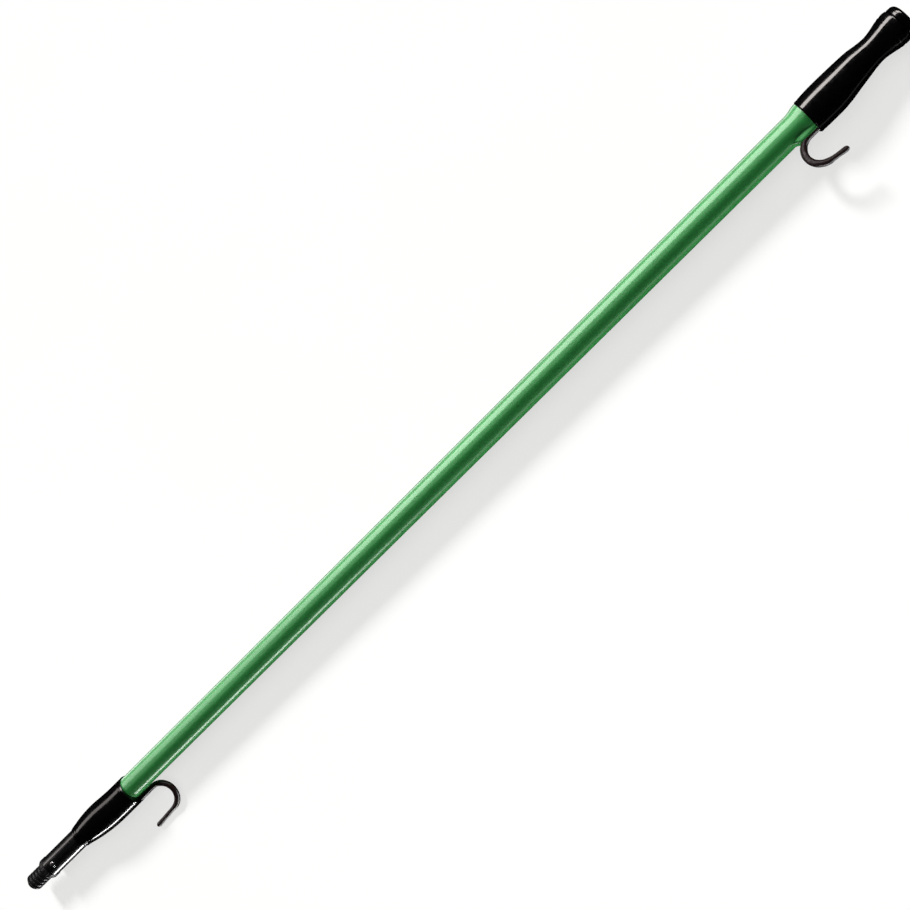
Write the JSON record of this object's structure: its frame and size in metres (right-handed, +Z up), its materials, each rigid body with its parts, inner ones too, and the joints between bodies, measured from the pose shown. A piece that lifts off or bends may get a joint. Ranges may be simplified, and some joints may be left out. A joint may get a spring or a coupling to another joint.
{
  "type": "telescopic roller extension pole",
  "caption": "telescopic twist-lock roller extension pole: green coated steel tube, soft black mouth sleeve and grip, bent-wire hooks, and a sliding black tube with a male roller thread",
  "frame": {"origin": "middle of the footprint, on the floor the pole lies on", "axes": "+X runs along the pole from the thread to the butt, +Z is up, and the hooks point to -Y"},
  "size_m": [1.2208, 0.067, 0.0359],
  "materials": {
    "coated_steel": "glossy green coating over steel tube",
    "steel": "plain zinc-plated steel",
    "black_tube": "semi-gloss black paint",
    "soft_black": "glossy soft black vinyl",
    "dipped_wire": "brown-black dipped vinyl",
    "black_nylon": "moulded black nylon",
    "pale_nylon": "moulded pale nylon",
    "felt": "grey felt"
  },
  "bodies": {
    "outer": {"outer_tube": "steel", "tube_coating": "coated_steel", "mouth_sleeve": "soft_black", "mouth_bush": "pale_nylon", "wiper_ring": "felt", "front_saddle": "black_nylon", "front_hook": "steel", "front_hook_dip": "dipped_wire", "rear_saddle": "black_nylon", "rear_hook": "steel", "rear_hook_dip": "dipped_wire", "handle_core": "black_nylon", "handle_pin": "steel", "grip_sleeve": "soft_black", "butt_cap": "soft_black", "butt_screw": "steel"},
    "lock_carriage": {"expander": "pale_nylon"},
    "inner": {"inner_tube": "black_tube", "threaded_tip": "black_nylon", "tip_rivet": "steel", "lock_plug": "pale_nylon", "lock_pin": "steel", "lock_screw": "steel", "stop_washer": "steel"},
    "wedge": {"wedge_nut": "pale_nylon"}
  },
  "joints": [
    {"name": "draw_out", "type": "slide", "parent": "outer", "child": "lock_carriage", "axis": [-1, 0, 0], "range_m": [0, 0.85]},
    {"name": "twist", "type": "hinge", "parent": "lock_carriage", "child": "inner", "pos_m": [0.4496, 0.01744, 0.01782], "axis": [1, 0, 0], "range_deg": [0, 270]},
    {"name": "wedge_draw", "type": "slide", "parent": "lock_carriage", "child": "wedge", "axis": [-1, 0, 0], "range_m": [0, 0.0015]}
  ],
  "couplings": [
    {"joint": "wedge_draw", "follows": "twist", "m_per_rad": 0.000318}
  ]
}
